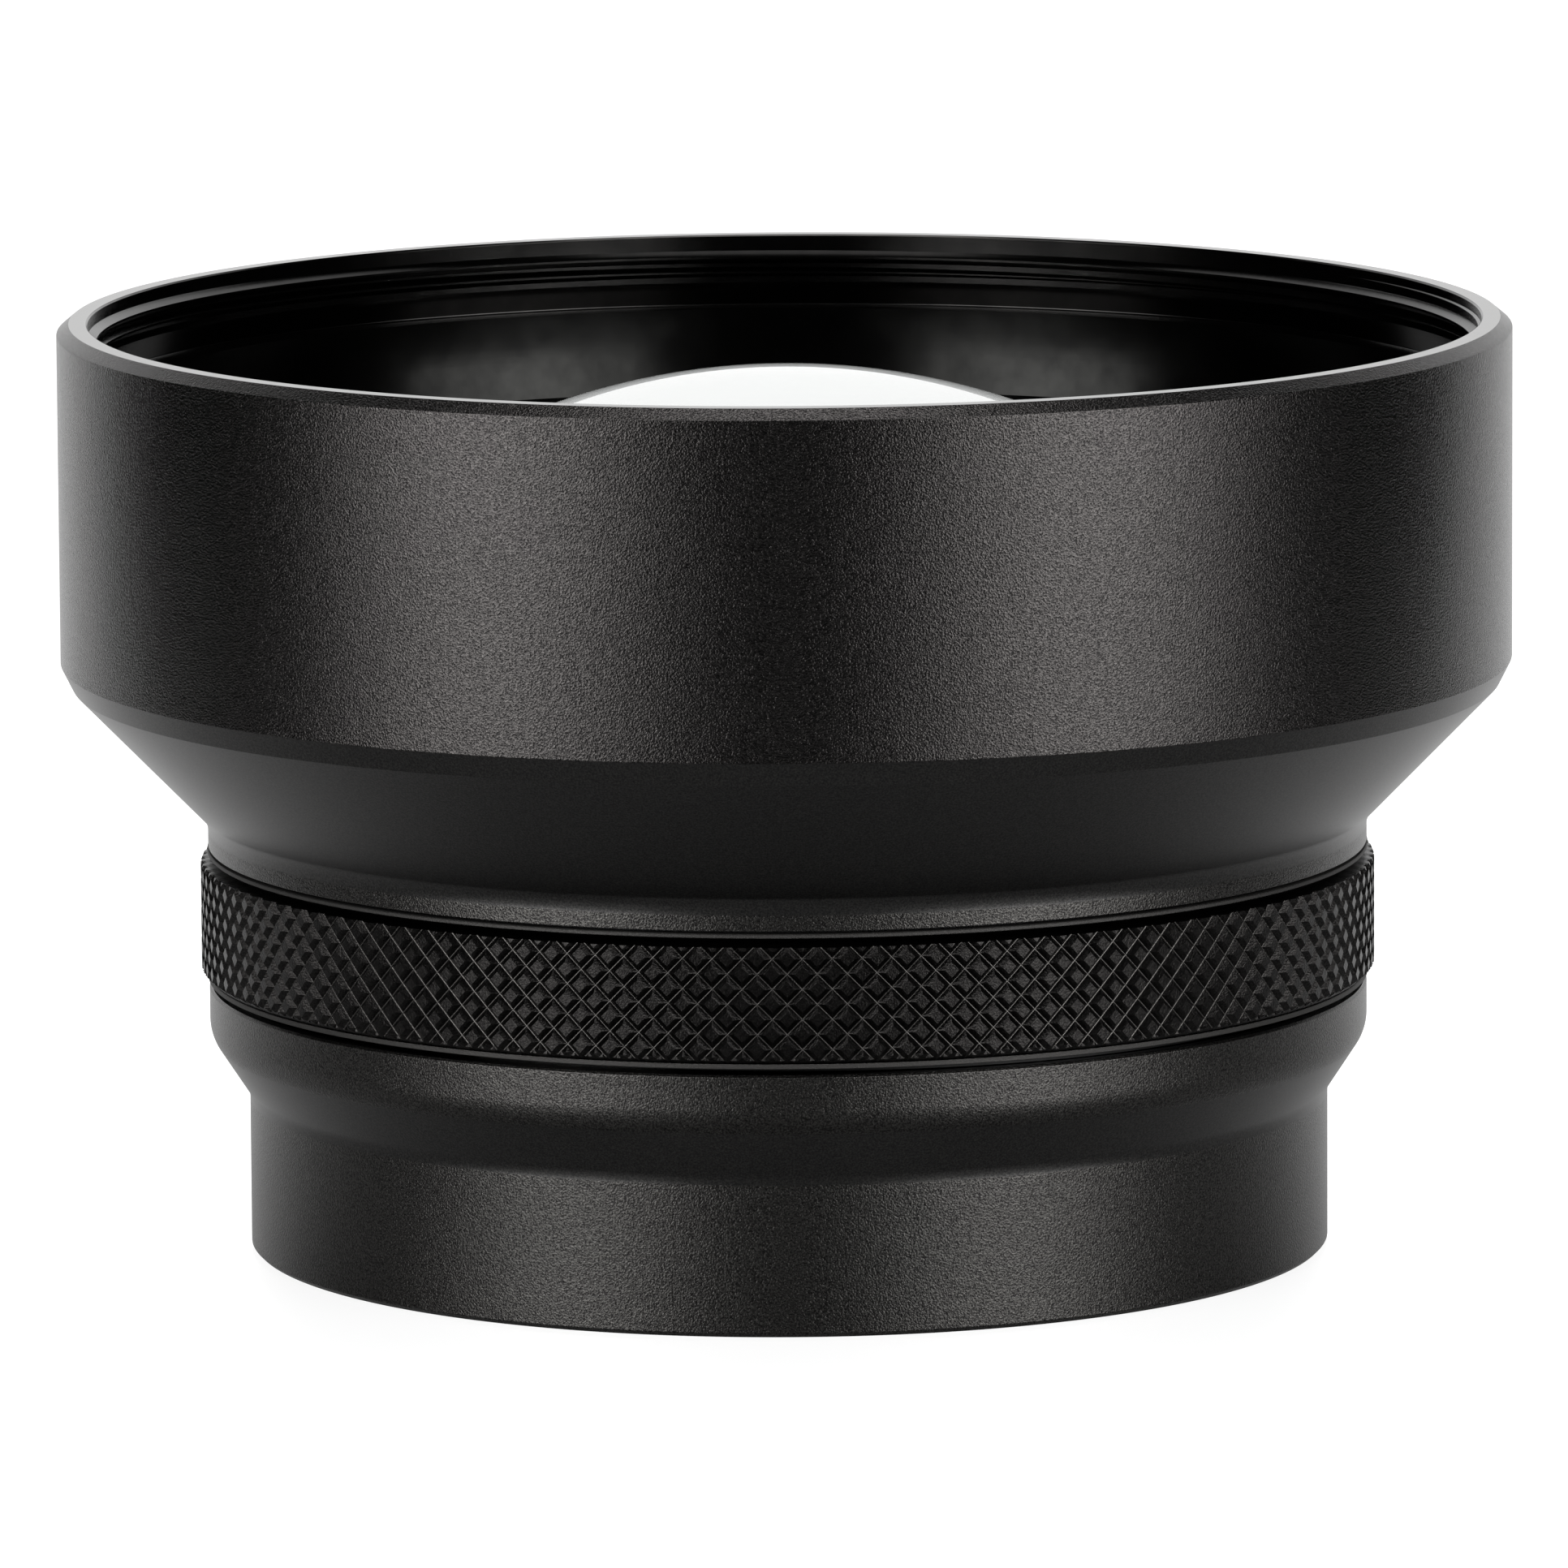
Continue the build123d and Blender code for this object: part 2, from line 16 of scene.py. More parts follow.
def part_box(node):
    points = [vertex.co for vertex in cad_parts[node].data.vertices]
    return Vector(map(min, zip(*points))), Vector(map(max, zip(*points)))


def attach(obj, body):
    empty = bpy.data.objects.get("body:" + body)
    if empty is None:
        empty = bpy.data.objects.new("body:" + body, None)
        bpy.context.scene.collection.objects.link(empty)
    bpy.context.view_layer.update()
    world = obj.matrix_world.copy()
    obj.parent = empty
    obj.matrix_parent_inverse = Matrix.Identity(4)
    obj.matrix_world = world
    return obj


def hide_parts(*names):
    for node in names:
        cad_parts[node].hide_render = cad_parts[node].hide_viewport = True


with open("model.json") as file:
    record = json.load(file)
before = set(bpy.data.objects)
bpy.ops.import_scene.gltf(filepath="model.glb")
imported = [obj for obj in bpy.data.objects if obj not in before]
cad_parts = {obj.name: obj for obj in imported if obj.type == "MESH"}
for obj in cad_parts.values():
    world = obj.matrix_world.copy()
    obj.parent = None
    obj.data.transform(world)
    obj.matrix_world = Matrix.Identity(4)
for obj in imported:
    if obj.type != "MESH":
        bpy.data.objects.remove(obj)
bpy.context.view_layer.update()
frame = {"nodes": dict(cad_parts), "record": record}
nodes = frame["nodes"]
MM = 0.001

# %% [markdown]
# ## The camera
#
# The photograph was taken with a long lens from a little above the rim. Measured on the picture, the camera stands
# 727.5 mm from the lens, 8.84 degrees up, and sees 76 mm across. A long focal length keeps the outlines nearly
# parallel, so a short lens put nearer would give the rim a rounder ellipse than the photograph has. The object
# leans a third of a degree to the left in the picture, so the camera rolls by that much.

# %% Place the camera
camera_distance = 727.5 * MM
camera_elevation = np.radians(8.84)
camera_roll = np.radians(-0.343)
aim = Vector((-0.148, 0, 22.22)) * MM

camera_data = bpy.data.cameras.new("camera")
camera_data.sensor_width = 36
camera_data.lens = 345.5
camera_data.clip_start = 0.05
camera = bpy.data.objects.new("camera", camera_data)
bpy.context.collection.objects.link(camera)
backwards = Vector((0, -np.cos(camera_elevation), np.sin(camera_elevation)))
tilt = Matrix.Rotation(np.pi / 2 - camera_elevation, 4, "X") @ Matrix.Rotation(camera_roll, 4, "Z")
camera.matrix_world = Matrix.Translation(aim + backwards * camera_distance) @ tilt
bpy.context.scene.camera = camera
print("camera at", [round(value / MM, 1) for value in camera.matrix_world.translation], "mm")

# %% [markdown]
# ## Sizes of the turned pieces
#
# Every piece here was turned on a lathe, so its shape is one outline carried round the axis. The outlines below
# repeat the drawing's radii and heights in millimetres. The solid model's own meshes are made of flat strips, and
# the soft highlights would show them, so the pieces that face the eye are turned again with smooth surfaces.

# %% Sizes from the drawing
rim_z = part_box("front_barrel")[1].z / MM
barrel_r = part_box("front_barrel")[1].x / MM
neck_low_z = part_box("front_barrel")[0].z / MM
rear_top_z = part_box("rear_barrel")[1].z / MM
neck_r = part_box("rear_barrel")[1].x / MM
ring_low_z, ring_top_z = (corner.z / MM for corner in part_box("grip_ring"))
apex_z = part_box("front_crown_lens")[1].z / MM
lens_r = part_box("front_crown_lens")[1].x / MM
cell_low_z, cell_face_z = (corner.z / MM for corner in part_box("front_cell"))

cone_foot_z = neck_low_z + 1.27
cone_top_r, cone_top_z = barrel_r - 0.55, 27.5
barrel_low_z = cone_top_z + 1.1
filter_thread_r = barrel_r - 1.5
filter_thread_low_z = rim_z - 2.4
ledge_z = rim_z - 3.6
bell_bore_r = filter_thread_r - 1.3
bell_cavity_r = bell_bore_r - 1.2
cell_floor_z = 30.99
funnel_top_z, funnel_low_z = 26.88, 21.76
sleeve_bore_r = 26.0
rear_r = neck_r - 1.9
rear_bore_r, rear_shelf_z = 25.45, 8.07
rear_thread_r = rear_r - 1.6
rear_thread_top_z = 4.5
print("bell radius", round(barrel_r, 2), "mm, rim at", round(rim_z, 2), "mm")
print("ring from", round(ring_low_z, 2), "to", round(ring_top_z, 2), "mm")

# %% [markdown]
# ## Turning a profile
#
# A lathe leaves no perfectly sharp corner, and the tiny rounds are what catch the light. So each corner of an
# outline gets a real radius. The round is an arc between the two straight runs, and its normals turn with it.
# A bevel modifier could do the same, but it guesses the normals. Here they come from the arc itself, so a wide
# flat stays flat right up to its edge.

# %% Round the corners of an outline
arc_error = 0.002
widest_step = 0.35


def rounded(corners, closed):
    """Points, outward normals and finishes along an outline with rounded corners.

    corners holds (radius from the axis, height, corner radius, finish of the run that follows). The outline goes
    round the metal anticlockwise. On a corner's arc the direction turns evenly from the run before to the run
    after, and each point is the arc's centre plus or minus the arc's radius times the normal.
    """
    places = np.array([corner[:2] for corner in corners], float)
    points, normals, finishes = [], [], []
    for index, (_, _, radius, finish) in enumerate(corners):
        end = not closed and index in (0, len(corners) - 1)
        before = places[index] - places[index - 1]
        after = places[(index + 1) % len(corners)] - places[index]
        if end:
            before = after = after if index == 0 else before
        before, after = before / np.hypot(*before), after / np.hypot(*after)
        turn = np.arctan2(before[0] * after[1] - before[1] * after[0], before @ after)
        step = min(widest_step, 2 * np.sqrt(2 * arc_error / radius)) if radius else 1
        count = 1 if end else max(2, int(np.ceil(abs(turn) / step)) + 1)
        angles = np.linspace(0, 0 if end else turn, count)
        along = before[0] + 1j * before[1]
        outward = -1j * along * np.exp(1j * angles)
        start = places[index] @ (1, 1j) - along * radius * np.tan(abs(turn) / 2) * (not end)
        spots = np.array([start]) if end else start + np.sign(turn) * radius * (1j * along + outward)
        points.append(np.column_stack([spots.real, spots.imag]))
        normals.append(np.column_stack([outward.real, outward.imag]))
        finishes += [finish] * len(spots)
    return np.concatenate(points), np.concatenate(normals), np.array(finishes)


# %% Faces of a grid, and a mesh from arrays
def grid_quads(rows, columns, rows_close, columns_close):
    """Four-sided faces of a grid whose vertices are numbered row by row: vertex number = row * columns + column.

    Where the rows or the columns close, the last one is joined to the first.
    """
    row, column = np.meshgrid(np.arange(rows if rows_close else rows - 1),
                              np.arange(columns if columns_close else columns - 1), indexing="ij")
    above, beside = (row + 1) % rows, (column + 1) % columns
    return np.stack([row * columns + column, row * columns + beside,
                     above * columns + beside, above * columns + column], -1).reshape(-1, 4)


def make_object(name, vertices, faces, normals=None, finishes=None):
    """A mesh object from arrays: vertices in millimetres, faces as vertex numbers, and a normal for each vertex."""
    mesh = bpy.data.meshes.new(name)
    mesh.from_pydata((np.asarray(vertices) * MM).tolist(), [], faces)
    mesh.polygons.foreach_set("use_smooth", np.full(len(faces), normals is not None))
    if finishes is not None:
        mesh.polygons.foreach_set("material_index", np.asarray(finishes, np.int32))
    if normals is not None:
        mesh.normals_split_custom_set_from_vertices(np.asarray(normals).tolist())
    made = bpy.data.objects.new(name, mesh)
    bpy.context.collection.objects.link(made)
    print(f"{name}: {len(vertices)} vertices, {len(faces)} faces")
    return made


# %% Carry an outline round the axis
def turned(name, corners, closed=True, columns=360):
    """A turned surface: each outline point (r, z) becomes the ring (r cos a, r sin a, z), a from 0 to a full turn.

    An open outline starts and ends on the axis, where the ring is a single point.
    """
    points, normals, finishes = rounded(corners, closed)
    if not closed:
        poles, points, normals, finishes = points[[0, -1]], points[1:-1], normals[1:-1], finishes[1:-1]
    rows = len(points)
    angle = np.linspace(0, 2 * np.pi, columns, endpoint=False)
    circle = np.column_stack([np.cos(angle), np.sin(angle)])
    place, facing = (np.dstack([pair[:, :1, None] * circle, np.broadcast_to(pair[:, 1:, None], (rows, columns, 1))])
                     for pair in (points, normals))
    quads = grid_quads(rows, columns, closed, True)
    vertices, facing, faces = place.reshape(-1, 3), facing.reshape(-1, 3), quads.tolist()
    face_finish = np.repeat(finishes[:len(quads) // columns], columns)
    if not closed:
        vertices = np.concatenate([vertices, [[0, 0, pole[1]] for pole in poles]])
        facing = np.concatenate([facing, [[0, 0, -1], [0, 0, 1]]])
        first, last, top = rows * columns, rows * columns + 1, (rows - 1) * columns
        ring, beside = np.arange(columns), (np.arange(columns) + 1) % columns
        faces += np.column_stack([np.full(columns, first), beside, ring]).tolist()
        faces += np.column_stack([np.full(columns, last), top + ring, top + beside]).tolist()
        face_finish = np.concatenate([face_finish, np.full(columns, finishes[0]), np.full(columns, finishes[-1])])
    return make_object(name, vertices, faces, facing, face_finish)


# %% [markdown]
# ## Colours and shader nodes
#
# Colours are written as the hex values that a picture shows. Light adds up in linear values, so one function
# turns hex to linear. Another adds a node with its settings and its links.

# %% Helpers for materials
def colour(hex_value):
    """sRGB hex to linear RGBA: the lowest values are divided by 12.92, the rest follow a power curve of 2.4."""
    srgb = np.array([int(hex_value[index:index + 2], 16) for index in (1, 3, 5)]) / 255
    linear = np.where(srgb <= 0.04045, srgb / 12.92, ((srgb + 0.055) / 1.055) ** 2.4)
    return (*linear.tolist(), 1)


def add(tree, kind, inputs=None, **settings):
    """Add one shader node, set it up, and fill or link its inputs."""
    node = tree.nodes.new("ShaderNode" + kind)
    for name, value in settings.items():
        setattr(node, name, value)
    for name, value in (inputs or {}).items():
        if isinstance(value, bpy.types.NodeSocket):
            tree.links.new(value, node.inputs[name])
        else:
            node.inputs[name].default_value = value
    return node


def new_material(name):
    """An empty node material and its tree."""
    material = bpy.data.materials.new(name)
    material.use_nodes = True
    material.node_tree.nodes.clear()
    print("material:", name)
    return material, material.node_tree


# %% [markdown]
# ## Blasted and anodised aluminium
#
# The barrels were bead-blasted and then anodised black. Under the clear oxide the dyed metal still reflects like
# metal, only about a thirtieth as much, so it is a metal with a very dark colour. Each dent of a bead throws the
# light its own way, so the surface sparkles in grey specks. A noise with cells of 0.09 mm moves both the colour
# and the slope. The finish could also be one flat grey with more roughness, but then the specks would be
# missing. Real dents are about 0.05 mm across. They are drawn nearly twice as large, so that they still show in a
# picture of 1024 pixels.

# %% Blasted black anodising
bead_dent = 0.09
gloss_patch = 6
gloss_drift = 0.008


def bead_dents(tree, place):
    """A noise with cells as wide as a bead's dent, and its middle range stretched to run from 0 to 1."""
    grain = add(tree, "TexNoise", {"Vector": place.outputs["Object"], "Scale": 1 / (bead_dent * MM),
                                   "Detail": 1.0, "Roughness": 0.6})
    return grain, add(tree, "MapRange", {"Value": grain.outputs["Fac"], "From Min": 0.33, "From Max": 0.75})


def blasted_finish(name, dark, pale, roughness, dent_depth):
    """Dyed metal with specks: colour = dark + (pale - dark) * speck, and the grain times the depth is the relief."""
    material, tree = new_material(name)
    place = add(tree, "TexCoord")
    grain, speck = bead_dents(tree, place)
    cloud = add(tree, "TexNoise", {"Vector": place.outputs["Object"], "Scale": 1 / (gloss_patch * MM), "Detail": 2.0})
    tint = add(tree, "Mix", {"Factor": speck.outputs["Result"], "A": colour(dark), "B": colour(pale)},
               data_type="RGBA")
    dents = add(tree, "Bump", {"Height": grain.outputs["Fac"], "Strength": 1.0, "Distance": dent_depth * MM})
    rough = add(tree, "MapRange", {"Value": cloud.outputs["Fac"], "To Min": roughness - gloss_drift,
                                   "To Max": roughness + gloss_drift})
    surface = add(tree, "BsdfPrincipled", {"Base Color": tint.outputs["Result"], "Metallic": 1.0,
                                           "Roughness": rough.outputs["Result"], "Normal": dents.outputs["Normal"]})
    add(tree, "OutputMaterial", {"Surface": surface.outputs[0]})
    return material


# The wide wall: soft vertical highlights, full of specks.
blasted = blasted_finish("aluminium_bead_blasted_black_anodised", "#222121", "#4b4948", 0.25, 0.027)
# The necks and the rear cylinder were blasted harder, so their highlights are wider and paler.
coarse_blasted = blasted_finish("aluminium_coarse_blasted_black_anodised", "#252424", "#51504e", 0.32, 0.027)
# The cones and the bevel look smooth, with hardly a speck.
fine_blasted = blasted_finish("aluminium_fine_blasted_black_anodised", "#313131", "#4a4948", 0.32, 0.003)

# %% [markdown]
# ## Turned and anodised aluminium
#
# The thread, the lens seats and the inner rings keep the marks of the cutting tool under the anodising. The marks
# run round the axis, so they follow the height and the radius and not the angle. An image of scratches could be
# wrapped round instead, but it would need a seam. Real feed marks are about 0.1 mm apart. They are drawn at
# 0.25 mm, so that they still show.

# %% Turned black anodising
feed_mark = 0.25
dye_mottle = 1.2


def turned_finish(name, dark, pale, roughness, mark_depth):
    """Dyed metal with tool marks: a noise of radius and height alone gives rings, and another varies the tone."""
    material, tree = new_material(name)
    place = add(tree, "TexCoord")
    apart = add(tree, "SeparateXYZ", {0: place.outputs["Object"]})
    flat = add(tree, "CombineXYZ", {"X": apart.outputs["X"], "Y": apart.outputs["Y"]})
    radius = add(tree, "VectorMath", {0: flat.outputs[0]}, operation="LENGTH")
    ruler = add(tree, "CombineXYZ", {"X": radius.outputs["Value"], "Z": apart.outputs["Z"]})
    marks = add(tree, "TexNoise", {"Vector": ruler.outputs[0], "Scale": 1 / (feed_mark * MM), "Detail": 2.0})
    mottle = add(tree, "TexNoise", {"Vector": place.outputs["Object"], "Scale": 1 / (dye_mottle * MM), "Detail": 3.0})
    tint = add(tree, "Mix", {"Factor": mottle.outputs["Fac"], "A": colour(dark), "B": colour(pale)},
               data_type="RGBA")
    groove = add(tree, "Bump", {"Height": marks.outputs["Fac"], "Strength": 1.0, "Distance": mark_depth * MM})
    surface = add(tree, "BsdfPrincipled", {"Base Color": tint.outputs["Result"], "Metallic": 1.0,
                                           "Roughness": roughness, "Normal": groove.outputs["Normal"]})
    add(tree, "OutputMaterial", {"Surface": surface.outputs[0]})
    return material


# Threads and rings: a dark gloss with fine bright lines.
satin = turned_finish("aluminium_turned_black_anodised", "#242424", "#383736", 0.18, 0.001)
# The coated wall and the cell: matt black, and partly painted shade deep in the bell; a faint glow where a lamp meets
# them.
matt_black_and_painted_shade = turned_finish("aluminium_turned_matt_black_and_painted_shade", "#111111", "#252524", 0.2, 0.001)
# The rim's flat was faced last and dyed least, so it shows as a thin bright line.
faced = turned_finish("aluminium_faced_black_anodised", "#666564", "#747372", 0.12, 0.0005)

# %% [markdown]
# ## The bell
#
# The bell is one shell: a rim with a chamfer, a filter thread, a wide wall, a small bevel, a 44 degree cone and
# a neck. Outside it is blasted. From the thread inwards it is left as turned. Below the ledge the wall is coated
# matt black, darker than the turned metal, and this darkness is partly painted shade for the deep inside of the bell.
# It leans inwards more and more, on an arc of 16 mm radius, so that it catches the two soft boxes in its lower part
# only. Inside, a funnel leads down to the bore for the sleeve. A solid cut from a cylinder would give the same shape
# with many cuts. One outline is easier to read against the drawing.

# %% Turn the bell
outside, inside, smooth, coarse, facing_cut, coated = range(6)
wall_curve = 16
chamfer_w, chamfer_h = 0.6, 0.5
lead_in = 0.08
lean_z, lean_w = ledge_z - 2.1, 0.5
collar_z = cell_face_z + 0.05
bell_outline = [
    (neck_r, neck_low_z, 0.03, coarse),
    (neck_r, cone_foot_z, 1.3, smooth),
    (cone_top_r, cone_top_z, 0.12, smooth),
    (barrel_r, barrel_low_z, 0.08, outside),
    (barrel_r, rim_z - chamfer_h, 0.05, outside),
    (barrel_r - chamfer_w, rim_z, 0.05, facing_cut),
    (filter_thread_r + lead_in, rim_z, 0.03, inside),
    (filter_thread_r, rim_z - lead_in, 0.03, inside),
    (filter_thread_r, filter_thread_low_z, 0.05, inside),
    (filter_thread_r + 0.3, ledge_z, 0.08, inside),
    # Matt black coat below the ledge, partly painted shade for the deep inside of the bell.
    (bell_bore_r, ledge_z, 0.08, coated),
    (bell_bore_r, lean_z, wall_curve, coated),
    (bell_bore_r - lean_w, collar_z, 0.05, inside),
    (bell_bore_r, collar_z, 0.05, inside),
    (bell_bore_r, cell_floor_z, 0.05, inside),
    (bell_cavity_r, cell_floor_z, 0.05, inside),
    (bell_cavity_r, funnel_top_z, 0.3, inside),
    (sleeve_bore_r, funnel_low_z, 0.3, inside),
    (sleeve_bore_r, neck_low_z, 0.03, outside),
]
bell = turned("bell", bell_outline)
for finish in (blasted, satin, fine_blasted, coarse_blasted, faced, matt_black_and_painted_shade):
    bell.data.materials.append(finish)
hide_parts("front_barrel")
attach(bell, "barrel")

# %% [markdown]
# ## Screw threads
#
# A thread is a small triangle carried along a helix. The filter thread has a pitch of 0.75 mm, the usual one for
# filters, and so has the rear thread. A stack of rings would look alike from afar, but its lines would close on
# themselves, and here they climb. Each end of the ridge fades out over a third of a turn, as a cut thread does.

# %% Cut the threads
thread_pitch = 0.75
thread_depth = 0.4
root_share, crest_share = 0.44, 0.07  # half widths, as shares of the pitch
fades_per_turn = 3
root_overlap = 0.02  # the ridge starts a little inside the wall, so no gap shows


def internal_thread(name, wall_r, low_z, top_z, columns=360):
    """A thread inside a bore: a triangle with a flat crest carried along the helix z = pitch * turns.

    At each point of the helix the section's corners are (wall, -half), (crest, -flat), (crest, +flat) and
    (wall, +half), and the crest moves back to the wall where the helix starts and ends.
    """
    half, flat = root_share * thread_pitch, crest_share * thread_pitch
    turns = (top_z - low_z) / thread_pitch - 2 * half / thread_pitch
    count = int(columns * turns)
    turn = np.linspace(0, turns, count + 1)
    fade = np.clip(np.minimum(turn, turns - turn) * fades_per_turn, 0, 1)
    middle = low_z + half + thread_pitch * turn
    crest = wall_r - thread_depth * fade
    outer = np.full_like(turn, wall_r + root_overlap)
    section_r = np.stack([outer, outer, crest, crest], 1)
    section_z = middle[:, None] + np.stack([half * fade, -half * fade, -flat * fade, flat * fade], 1)
    angle = 2 * np.pi * turn[:, None]
    vertices = np.stack([section_r * np.cos(angle), section_r * np.sin(angle), section_z], -1).reshape(-1, 3)
    last = 4 * count
    ends = [[3, 2, 1, 0], [last, last + 1, last + 2, last + 3]]
    thread = make_object(name, vertices, grid_quads(count + 1, 4, False, True).tolist() + ends)
    thread.data.materials.append(satin)
    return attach(thread, "barrel")


thread_start = 0.15
internal_thread("filter_thread", filter_thread_r, filter_thread_low_z, rim_z - thread_start)
internal_thread("rear_thread", rear_thread_r, thread_start, rear_thread_top_z)

# %% [markdown]
# ## The rear barrel
#
# Below the ring the same neck comes back, then a soft-edged cone and the cylinder that the part stands on. Its
# corners are rounder than the bell's, so the highlight slides over them without a line. It is turned in the same
# way as the bell, because the two were made on one lathe.

# %% Turn the rear barrel
foot_chamfer, top_chamfer = 0.2, 0.12
rear_cone_low_z, rear_cone_top_z = rear_top_z - 5.2, rear_top_z - 2.3
thread_relief_r = rear_thread_r + 0.25
rear_outline = [
    (rear_thread_r + foot_chamfer, 0, 0.05, coarse),
    (rear_r - foot_chamfer, 0, 0.05, coarse),
    (rear_r, foot_chamfer, 0.08, coarse),
    (rear_r, rear_cone_low_z, 1.2, smooth),
    (neck_r, rear_cone_top_z, 2.2, coarse),
    (neck_r, rear_top_z - top_chamfer, 0.05, coarse),
    (neck_r - top_chamfer, rear_top_z, 0.03, inside),
    (rear_bore_r, rear_top_z, 0.03, inside),
    (rear_bore_r, rear_shelf_z, 0.03, inside),
    (thread_relief_r, rear_shelf_z, 0.05, inside),
    (thread_relief_r, rear_thread_top_z, 0.03, inside),
    (rear_thread_r, rear_thread_top_z, 0.03, inside),
    (rear_thread_r, foot_chamfer, 0.05, inside),
]
rear_barrel = turned("rear_barrel_shell", rear_outline)
for finish in (blasted, satin, fine_blasted, coarse_blasted):
    rear_barrel.data.materials.append(finish)
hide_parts("rear_barrel")
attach(rear_barrel, "barrel")

# %% [markdown]
# ## The diamond knurl
#
# A knurling wheel presses two crossing sets of grooves into the ring and leaves rows of small pyramids. The ring
# is then skimmed, so each pyramid has a flat top. There are 126 pyramids round, shown as real facets, because
# a bump map would leave the outline smooth. The radius is a height field: the valley plus the smaller of two
# triangle waves, one for each set of grooves, cut off at the flat. The grid's cells are split along the grooves,
# so every crease is a clean line. Below, a chamfer runs down to a narrow shoulder. Above, a V groove sets the
# knurl off from the upper shoulder. The chamfers, the V groove and the step at the foot of the lower chamfer take
# the walls' dark colour, painted shade, so the groove shows as a dark line.

# %% Sizes of the knurl
knurl_count = 126
knurl_pitch = 1.427
knurl_first_z = 14.075  # height of the lowest crossing of two grooves
knurl_rows = 3
knurl_turn = -0.038  # of a pyramid's width, so that the pattern stands as it does in the photograph
knurl_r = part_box("grip_ring")[1].x / MM
knurl_depth = 0.27
shoulder_r = neck_r + 0.04
grip_inner_r = 27.31
cells = 8  # of the grid, from one groove to the next
flat_from = 2  # cells from a groove to the edge of a flat
rows_below, rows_above = 3, 3  # of cells, beyond the last whole pyramids
chamfer_z = [13.36, 13.70, 18.80, 18.95]
chamfer_r = [27.95, knurl_r, knurl_r, 28.25]
relief_r, relief_z = 27.45, 18.99  # root of the V groove above the knurl
low_shoulder_z, top_shoulder_z = 13.35, 19.29
hem_edge, hem_lip = 0.03, 0.04
low_hem = [
    (grip_inner_r, ring_low_z + hem_lip),
    (grip_inner_r, ring_low_z),
    (shoulder_r - hem_edge, ring_low_z),
    (shoulder_r, ring_low_z + hem_edge),
    (shoulder_r, low_shoulder_z - hem_edge),
    (shoulder_r - hem_edge, low_shoulder_z),
    (chamfer_r[0], chamfer_z[0]),
]
top_hem = [
    (relief_r, relief_z),
    (shoulder_r - hem_edge, top_shoulder_z),
    (shoulder_r, top_shoulder_z + hem_edge),
    (shoulder_r, ring_top_z - hem_lip),
    (shoulder_r - hem_lip, ring_top_z),
    (grip_inner_r, ring_top_z),
    (grip_inner_r, ring_top_z - hem_lip),
]
print("one pyramid is", round(2 * np.pi * knurl_r / knurl_count, 3), "mm wide and", knurl_pitch, "mm high")

# %% The knurl's height field
row = np.arange(-rows_below, knurl_rows * cells + rows_above + 1)
column = np.arange(knurl_count * cells)


def to_groove(lines):
    """Grid cells to the nearest groove: the smaller of the remainder and what it lacks to the next groove."""
    into_cell = np.mod(lines, cells)
    return np.minimum(into_cell, cells - into_cell)


def knurl_field():
    """Radius, height, and distances from groove and corner, on a grid of height and angle.

    r = min(chamfer(z), valley + depth * min(1, d / flat_from)), where d is the number of grid cells to the
    nearest groove of either set. The distance from a corner is the difference of the two sets' distances. On the
    chamfers the finish is that of a wall, so d is held at 1 there, and they take the walls' dark colour, painted
    shade.
    """
    rising, falling = to_groove(column - row[:, None]), to_groove(column + row[:, None])
    distance = np.minimum(rising, falling)
    height = knurl_first_z + row * knurl_pitch / cells
    limit = np.interp(height, chamfer_z, chamfer_r)[:, None]
    radius = np.minimum(limit, knurl_r - knurl_depth * (1 - np.minimum(1, distance / flat_from)))
    chamfered = (limit < radius + 1e-6) & (distance > 0)
    # On the chamfers the walls' dark colour is painted shade.
    from_groove = np.where(chamfered, np.minimum(distance, 1), distance)
    from_corner = np.where(chamfered, cells / 2, abs(rising - falling))
    return radius, height, from_groove, from_corner


field = knurl_field()
print("radius from", round(field[0].min(), 2), "to", round(field[0].max(), 2), "mm")

# %% [markdown]
# ## The ring round the knurl
#
# The knurl's field is closed above and below by the ring's plain shoulders, the hems. Each is a short list of radii
# and heights, carried round like any turned outline. The mesh also carries the two distances as attributes, because
# the finish needs to know where the walls, the flats and the roots of the grooves are.

# %% Knurl the grip ring
def knurled_ring(radius, height, from_groove, from_corner):
    """The field between its two hems, at (r cos a, r sin a, z), with a = a full turn * (column / cells + turn) /
    count. Where row plus column is even a cell is split one way, and otherwise the other way."""
    low, top = np.array(low_hem), np.array(top_hem)
    around = np.ones(column.size)
    radius = np.concatenate([low[:, :1] * around, radius, top[:, :1] * around])
    height = np.concatenate([low[:, 1], height, top[:, 1]])
    angle = 2 * np.pi * (column / cells + knurl_turn) / knurl_count
    vertices = np.stack([radius * np.cos(angle), radius * np.sin(angle),
                         np.broadcast_to(height[:, None], radius.shape)], -1).reshape(-1, 3)
    quads = grid_quads(len(height), column.size, True, True)
    line = np.arange(len(height)) - len(low) - rows_below
    even = ((line[:, None] + column) % 2 == 0).reshape(-1, 1)
    first = np.where(even, quads[:, [0, 1, 2]], quads[:, [0, 1, 3]])
    second = np.where(even, quads[:, [0, 2, 3]], quads[:, [1, 2, 3]])
    made = make_object("knurled_grip", vertices, np.concatenate([first, second]).tolist())
    for name, values in (("from_groove", from_groove), ("from_corner", from_corner)):
        below, beyond = np.full((len(low), column.size), cells), np.full((len(top), column.size), cells)
        # The two hem rows next to the knurl take the walls' dark colour: painted shade in the V groove and at the
        # chamfer's foot.
        below[-2:], beyond[:2] = 1, 1  # next to the knurl the hems are as dark as its walls
        carried = made.data.attributes.new(name, "FLOAT", "POINT")
        carried.data.foreach_set("value", np.concatenate([below, values, beyond]).ravel().astype(np.float32))
    return made


grip = knurled_ring(*field)

